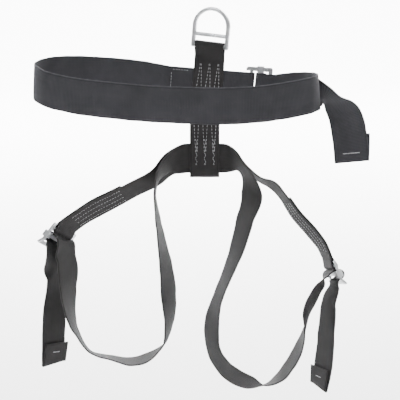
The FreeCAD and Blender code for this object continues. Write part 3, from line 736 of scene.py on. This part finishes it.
# ---- materials ---------------------------------------------------------------------------------
class Nodes:
    """Short names for building one material's node tree."""

    def __init__(self, name):
        self.material = bpy.data.materials.new(name)
        self.material.use_nodes = True
        self.tree = self.material.node_tree
        self.shader = self.tree.nodes["Principled BSDF"]

    def add(self, kind, **values):
        node = self.tree.nodes.new(kind)
        for key, value in values.items():
            setattr(node, key, value)
        return node

    def link(self, source, target):
        self.tree.links.new(source, target)

    def plug(self, socket, value):
        if hasattr(value, "is_output"):
            self.link(value, socket)
        else:
            socket.default_value = value

    def math(self, operation, a, b=0.0, c=0.0):
        node = self.add("ShaderNodeMath", operation=operation)
        for socket, value in zip(node.inputs, (a, b, c)):
            self.plug(socket, value)
        return node.outputs[0]

    def mix(self, factor, a, b):
        node = self.add("ShaderNodeMix", data_type="RGBA")
        self.plug(node.inputs[0], factor)
        self.plug(node.inputs[6], a)
        self.plug(node.inputs[7], b)
        return node.outputs[2]

    def noise(self, vector, scale, detail):
        node = self.add("ShaderNodeTexNoise")
        self.link(vector, node.inputs["Vector"])
        node.inputs["Scale"].default_value = scale
        node.inputs["Detail"].default_value = detail
        node.inputs["Roughness"].default_value = 0.55
        return node.outputs["Fac"]

    def ramp(self, value, low, high, out_low=0.0, out_high=1.0):
        node = self.add("ShaderNodeMapRange", clamp=True)
        node.interpolation_type = "SMOOTHSTEP"
        for socket, number in zip(node.inputs, (value, low, high, out_low, out_high)):
            self.plug(socket, number)
        return node.outputs[0]

    def bump(self, height, distance, strength):
        node = self.add("ShaderNodeBump")
        node.inputs["Strength"].default_value = strength
        node.inputs["Distance"].default_value = distance
        self.link(height, node.inputs["Height"])
        return node.outputs["Normal"]

    def uv(self):
        return self.add("ShaderNodeTexCoord").outputs["UV"]

    def object_place(self):
        return self.add("ShaderNodeTexCoord").outputs["Object"]


def colour(r, g, b):
    return (r, g, b, 1.0)


DM = 0.01                 # one millimetre in the tapes' UV, which counts in decimetres


TWILL_ALONG = 3.4         # one slanting rib of the weave, measured along the tape
TWILL_ACROSS = 2.9        # and across it


def webbing_material(name, web, dark, light, pick, column, rib_share, twill_share):
    """Woven nylon: picks of weft across the tape, columns of warp along it, ribs, twill, and lighter edges
    that are partly wear and partly a painted rim highlight.

    pick and column are the weave's two pitches in millimetres; the shares are how much of its relief
    is ribs and twill.
    """
    n = Nodes(name)
    uv = n.uv()
    split = n.add("ShaderNodeSeparateXYZ")
    n.link(uv, split.inputs[0])
    along, across = split.outputs[0], split.outputs[1]
    columns = n.math("DIVIDE", across, column * DM)
    odd = n.math("MODULO", n.math("ADD", n.math("FLOOR", columns), 200.0), 2.0)
    picks = n.math("MULTIPLY_ADD", odd, 0.5, n.math("DIVIDE", along, pick * DM))
    pick_wave = n.math("ABSOLUTE", n.math("SINE", n.math("MULTIPLY", picks, math.pi)))
    column_wave = n.math("ABSOLUTE", n.math("SINE", n.math("MULTIPLY", columns, math.pi)))
    yarn = n.math("MULTIPLY", n.math("POWER", pick_wave, 0.7), n.math("POWER", column_wave, 0.5))
    rib = n.math("SINE", n.math("MULTIPLY", n.math("DIVIDE", along, pick * DM), 2 * math.pi))
    rib = n.math("MULTIPLY_ADD", rib, 0.5, 0.5)
    slant = n.math("DIVIDE", along, TWILL_ALONG * DM)
    slant = n.math("ADD", slant, n.math("DIVIDE", across, TWILL_ACROSS * DM))
    twill = n.math("MULTIPLY_ADD", n.math("SINE", n.math("MULTIPLY", slant, 2 * math.pi)), 0.5, 0.5)
    weave = n.math("MULTIPLY", yarn, 1.0 - rib_share - twill_share)
    weave = n.math("MULTIPLY_ADD", rib, rib_share, weave)
    weave = n.math("MULTIPLY_ADD", twill, twill_share, weave)
    cloudy = n.noise(uv, 3.0, 4.0)
    fibres = n.noise(uv, 260.0, 2.0)
    streaks = n.add("ShaderNodeMapping")
    streaks.inputs["Scale"].default_value = (2.5, 60.0, 1.0)
    n.link(uv, streaks.inputs["Vector"])
    streak = n.noise(streaks.outputs[0], 1.0, 3.0)
    # Over the face the distance across runs from minus to plus half the width; the back follows on.
    half = web / 200
    round_trip = n.math("PINGPONG", n.math("ADD", across, half), web / 100)
    inset = n.math("MINIMUM", round_trip, n.math("SUBTRACT", web / 100, round_trip))
    selvedge = n.ramp(inset, 0.4 * DM, 1.6 * DM, 1.0, 0.0)
    groove_side = n.ramp(inset, 1.2 * DM, 2.0 * DM)
    groove = n.math("MULTIPLY", groove_side, n.ramp(inset, 2.0 * DM, 3.0 * DM, 1.0, 0.0))
    # The weave's share darkens the colour between yarns, ribs and twill lines: painted shade of the weave's
    # relief. The three noises are the tape's own uneven tone.
    shade = n.math("MULTIPLY", weave, 0.55)
    shade = n.math("MULTIPLY_ADD", cloudy, 0.5, shade)
    shade = n.math("MULTIPLY_ADD", streak, 0.28, shade)
    shade = n.math("MULTIPLY_ADD", fibres, 0.25, shade)
    shade = n.ramp(shade, 0.3, 1.15)
    base = n.mix(shade, colour(*dark), colour(*light))
    # Lighter selvedges, patchy along the tape: partly wear, partly a painted rim highlight.
    wear_and_rim_highlight = n.math("MULTIPLY", selvedge, n.ramp(n.noise(uv, 14.0, 3.0), 0.38, 0.62, 0.25, 0.8))
    base = n.mix(wear_and_rim_highlight, base, colour(*[c * 1.5 for c in light]))
    # The groove inside each selvedge is darkened in colour as well as dipped in the bump: painted shade in
    # the groove.
    base = n.mix(n.math("MULTIPLY", groove, 0.45), base, colour(*[c * 0.6 for c in dark]))
    n.link(base, n.shader.inputs["Base Color"])
    n.link(n.ramp(weave, 0.0, 1.0, 0.92, 0.72), n.shader.inputs["Roughness"])
    n.shader.inputs["Sheen Weight"].default_value = 0.03
    n.shader.inputs["Sheen Roughness"].default_value = 0.45
    n.shader.inputs["Sheen Tint"].default_value = colour(0.8, 0.82, 0.88)
    n.shader.inputs["Specular IOR Level"].default_value = 0.1
    height = n.math("MULTIPLY_ADD", fibres, 0.25, weave)
    height = n.math("MULTIPLY_ADD", groove, -0.8, height)
    n.link(n.bump(height, 0.00028, 0.75), n.shader.inputs["Normal"])
    return n.material


def thread_material():
    """Twisted bonded thread, pale grey, a little soiled by the webbing, with painted shade between its plies.
    """
    n = Nodes("stitching_thread")
    uv = n.uv()
    split = n.add("ShaderNodeSeparateXYZ")
    n.link(uv, split.inputs[0])
    turns = n.math("DIVIDE", split.outputs[0], 0.9 * DM)
    turns = n.math("ADD", turns, n.math("MULTIPLY", split.outputs[1], 3.0))
    ply = n.math("ABSOLUTE", n.math("SINE", n.math("MULTIPLY", turns, math.pi)))
    soil = n.noise(n.object_place(), 90.0, 3.0)
    # The ply's share darkens the colour between the plies: painted shade in the twist. The noise is soiling
    # from the webbing.
    tone = n.math("MULTIPLY", n.ramp(ply, 0.0, 0.7, 0.55, 1.0), n.ramp(soil, 0.3, 0.65, 0.45, 1.0))
    base = n.mix(tone, colour(0.08, 0.08, 0.085), colour(0.36, 0.365, 0.38))
    n.link(base, n.shader.inputs["Base Color"])
    n.shader.inputs["Roughness"].default_value = 0.6
    n.shader.inputs["Sheen Weight"].default_value = 0.25
    n.link(n.bump(ply, 0.00012, 0.8), n.shader.inputs["Normal"])
    return n.material


def steel_material(name, bright, dull, roughness, brush, pitted):
    """Bright plated steel with rolled or polished streaks, fine pits and duller rubbed patches."""
    n = Nodes(name)
    place = n.object_place()
    stretched = n.add("ShaderNodeMapping")
    stretched.inputs["Scale"].default_value = brush
    n.link(place, stretched.inputs["Vector"])
    streak = n.noise(stretched.outputs[0], 420.0, 4.0)
    patch = n.noise(place, 55.0, 4.0)
    pits = n.noise(place, 1500.0, 2.0)
    base = n.mix(n.ramp(patch, 0.35, 0.7), colour(*bright), colour(*dull))
    base = n.mix(n.ramp(pits, 0.62, 0.78, 0.0, pitted), base, colour(0.32, 0.32, 0.33))
    n.link(base, n.shader.inputs["Base Color"])
    n.shader.inputs["Metallic"].default_value = 1.0
    rough = n.math("MULTIPLY_ADD", streak, 0.16, n.ramp(patch, 0.3, 0.75, roughness - 0.05, roughness + 0.1))
    n.link(rough, n.shader.inputs["Roughness"])
    height = n.math("MULTIPLY_ADD", pits, 0.6, streak)
    n.link(n.bump(height, 0.00005, 0.5), n.shader.inputs["Normal"])
    return n.material


leg_webbing = webbing_material(
    "leg_webbing_weave", LEG_WEB,
    dark=(0.0130, 0.0123, 0.0124), light=(0.0295, 0.0285, 0.0290),
    pick=1.5, column=1.7, rib_share=0.2, twill_share=0.12,
)
belt_webbing = webbing_material(
    "belt_webbing_weave", BELT_WEB,
    dark=(0.0175, 0.0170, 0.0182), light=(0.0385, 0.0385, 0.0435),
    pick=2.1, column=1.9, rib_share=0.5, twill_share=0.14,
)
thread = thread_material()
ring_steel = steel_material(
    "ring_plated_steel",
    bright=(0.60, 0.61, 0.63), dull=(0.36, 0.37, 0.38),
    roughness=0.22, brush=(1, 1, 0.15), pitted=0.25,
)
frame_steel = steel_material(
    "buckle_stamped_steel",
    bright=(0.60, 0.61, 0.63), dull=(0.36, 0.37, 0.38),
    roughness=0.26, brush=(0.2, 1, 1), pitted=0.35,
)
bar_steel = steel_material(
    "slide_bar_grooved_steel",
    bright=(0.56, 0.57, 0.59), dull=(0.33, 0.34, 0.35),
    roughness=0.30, brush=(1, 0.2, 1), pitted=0.4,
)


# ---- the webbing -------------------------------------------------------------------------------
def webbing(name, sections, width, phase, node, material):
    mesh = tape_mesh(name, sections, width, phase)
    obj = add_object(name, mesh, "webbing", material)
    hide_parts(node)


riser_run = riser_sections()
belt_run = belt_sections()
leg_run = leg_loop_sections()
upper_strap_run = upper_strap_sections()

webbing("riser_webbing", riser_run, LEG_WEB, 0.4, "riser", leg_webbing)
webbing("waist_belt_webbing", belt_run, BELT_WEB, 1.1, "waist_belt", belt_webbing)
webbing(
    "upper_leg_strap_webbing", upper_strap_run, LEG_WEB, 2.3,
    "upper_leg_strap", leg_webbing,
)
webbing("leg_loop_webbing", leg_run, LEG_WEB, 0.9, "leg_loop_strap", leg_webbing)


# ---- the stitching -----------------------------------------------------------------------------
def stitching(name, stitches, *nodes):
    obj = add_object(name, thread_mesh(name, stitches), "webbing", thread)
    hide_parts(*nodes)


def stitch_riser():
    """Three lozenges on each face of the riser, in upper and lower halves, and a wavy row down from each."""
    upper_rows = []
    lower_rows = []
    for side in (1, -1):
        stations = [riser_station(z, -side * depth) for z, depth in riser_layer]
        placed = faced(smooth(stations, STITCHED_STEP))
        for place in LOZENGE_PLACES:
            for half in (-LOZENGE_HALF, LOZENGE_HALF):
                top = [(LOZENGE_TOP, place + half * 0.1), (LOZENGE_MIDDLE, place + half)]
                upper_rows += stitch_row(placed, side, top, LOZENGE_PITCH)
                low = [(LOZENGE_MIDDLE + 4, place + half), (LOZENGE_END, place + half * 0.2)]
                lower_rows += stitch_row(placed, side, low, LOZENGE_PITCH)
            wavy = zigzag((WAVY_START, place), (WAVY_END, place), WAVY_SWING, WAVY_TURNS)
            lower_rows += stitch_row(placed, side, wavy, WAVY_PITCH, 0.8)
    stitching("riser_upper_thread", upper_rows, "riser_upper_stitching")
    stitching("riser_lower_thread", lower_rows, "riser_lower_stitching")


def stitch_belt():
    """Two rows along the belt's edges beside the riser, joined by a third across it."""
    placed = faced(smooth([belt_far_station(x) for x in BELT_PATCH], STITCHED_STEP))
    edge = BELT_WEB / 2 - BELT_ROW_INSET
    near, far = BELT_ROW
    cross_half = edge - BELT_ROW_INSET
    upper_path = [(near, edge), (far, edge)]
    lower_path = [(near, -edge), (far, -edge)]
    cross_path = [(BELT_CROSS_ROW, -cross_half), (BELT_CROSS_ROW, cross_half)]
    belt_rows = []
    for path in (upper_path, lower_path, cross_path):
        belt_rows += stitch_row(placed, 1, path, BELT_PITCH)
    stitching("belt_lap_thread", belt_rows, "belt_lap_stitching")


def stitch_lap(name, seat, crossing_end, table, lap):
    """Four wandering rows on the sewn-back end of an upper strap."""
    run = upper_run(seat, crossing_end, table)
    placed = faced(run)
    length = run_length(run)
    start = length - lap + LAP_INSETS[0]
    end = length - LAP_INSETS[1]
    lap_rows = []
    for place, swing in zip(LAP_PLACES, LAP_SWINGS):
        path = zigzag((start, place), (end, place), swing, LAP_TURNS)
        lap_rows += stitch_row(placed, -seat.outer_side, path, LAP_PITCH, 0.7)
    stitching(name + "_lap_thread", lap_rows, name + "_lap_stitching")


def tack(run, distance, side, length):
    """A bar tack: close stitches lying side by side along one line across the tape."""
    placed = faced(run)
    where = run_length(run) - distance
    stitches = []
    count = max(4, int(length / TACK_GAP))
    for k in range(count):
        v = -length / 2 + length * (k + 0.5) / count
        path = [(where - TACK_HALF, v - TACK_LEAN), (where + TACK_HALF, v + TACK_LEAN)]
        stitches += stitch_row(placed, side, path, TACK_PITCH, 1.0)
    return stitches


stitch_riser()
stitch_belt()
crossing_ends = riser_crossing(LAYER / 2)
stitch_lap("left", left_seat, crossing_ends[0], left_upper, LEFT_LAP)
stitch_lap("right", right_seat, crossing_ends[-1], right_upper, RIGHT_LAP)
stitching("waist_end_thread", tack(belt_run, BELT_FLAP + BELT_TACK_RISE, 1, BELT_TACK), "waist_end_bar_tack")
stitching("left_end_thread", tack(leg_run[::-1], STOP_FLAP / 2, 1, LEG_TACK), "left_end_bar_tack")
stitching("right_end_thread", tack(leg_run, STOP_FLAP / 2, -1, LEG_TACK), "right_end_bar_tack")


# ---- the metal ---------------------------------------------------------------------------------
def dress(node, material):
    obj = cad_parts[node]
    obj.data.materials.clear()
    obj.data.materials.append(material)


dress("dee_ring", ring_steel)
for place in ("waist", "left_leg", "right_leg"):
    dress(place + "_buckle_frame", frame_steel)
    dress(place + "_slide_bar", bar_steel)


# ---- floor, light and camera -------------------------------------------------------------------
def studio():
    """A sheet of pale paper that lies below the saddle and curves up behind it, in metres."""
    half_width = 14.0
    floor_z = cad_low.z - 0.2
    front_y = -6.0
    wall_y = 7.0
    wall_top = 9.0
    bend = 1.6
    bend_steps = 16
    outline = [(front_y, 0.0)]
    for i in range(bend_steps + 1):
        angle = math.pi / 2 * i / bend_steps
        outline.append((wall_y - bend + bend * math.sin(angle), bend - bend * math.cos(angle)))
    outline.append((wall_y, wall_top))
    vertices = []
    for y, z in outline:
        vertices += [(-half_width, y, floor_z + z), (half_width, y, floor_z + z)]
    faces = [(2 * i, 2 * i + 1, 2 * i + 3, 2 * i + 2) for i in range(len(outline) - 1)]
    mesh = bpy.data.meshes.new("studio_sweep")
    mesh.from_pydata(vertices, [], faces)
    for polygon in mesh.polygons:
        polygon.use_smooth = True
    sweep = bpy.data.objects.new("studio_sweep", mesh)
    bpy.context.scene.collection.objects.link(sweep)
    n = Nodes("studio_paper")
    n.shader.inputs["Base Color"].default_value = colour(0.93, 0.93, 0.93)
    n.shader.inputs["Roughness"].default_value = 0.9
    mesh.materials.append(n.material)


def area_light(name, location, aim, size, watts, tint=(1, 1, 1)):
    data = bpy.data.lights.new(name, "AREA")
    data.shape = "RECTANGLE"
    data.size, data.size_y = size
    data.energy = watts
    data.color = tint
    lamp = bpy.data.objects.new(name, data)
    bpy.context.scene.collection.objects.link(lamp)
    lamp.location = location
    lamp.rotation_mode = "QUATERNION"
    lamp.rotation_quaternion = (Vector(aim) - Vector(location)).to_track_quat("-Z", "Y")


def world_light(strength):
    world = bpy.data.worlds.new("studio_world")
    bpy.context.scene.world = world
    world.use_nodes = True
    background = world.node_tree.nodes["Background"]
    background.inputs["Color"].default_value = colour(1.0, 1.0, 1.0)
    background.inputs["Strength"].default_value = strength


def look_at_saddle():
    """The camera stands on the -Y side, a little above the ring, and looks down at the saddle."""
    downward = 13.0
    data = bpy.data.cameras.new("studio_camera")
    data.lens = 100.26
    data.sensor_width = 36.0
    data.clip_end = 50.0
    camera = bpy.data.objects.new("studio_camera", data)
    bpy.context.scene.collection.objects.link(camera)
    camera.location = (-0.0168, -1.6453, 0.1193)
    camera.rotation_euler = (math.radians(90 - downward), 0, 0)
    bpy.context.scene.camera = camera


studio()
world_light(0.75)
saddle_middle = (-0.02, -0.05, -0.27)
area_light("key", (-1.3, -2.0, 1.6), saddle_middle, (1.4, 1.2), 40, (0.97, 0.98, 1.0))
area_light("fill", (1.9, -1.9, 0.4), saddle_middle, (1.6, 1.6), 16, (1.0, 0.98, 0.96))
area_light("top", (0.1, 0.3, 2.2), saddle_middle, (1.6, 1.6), 26)
for name, x in (("paper_left", -2.6), ("paper_right", 2.6)):
    area_light(name, (x, 3.4, 2.6), (0, 5.5, 0.2), (2.5, 2.5), 1500)
look_at_saddle()
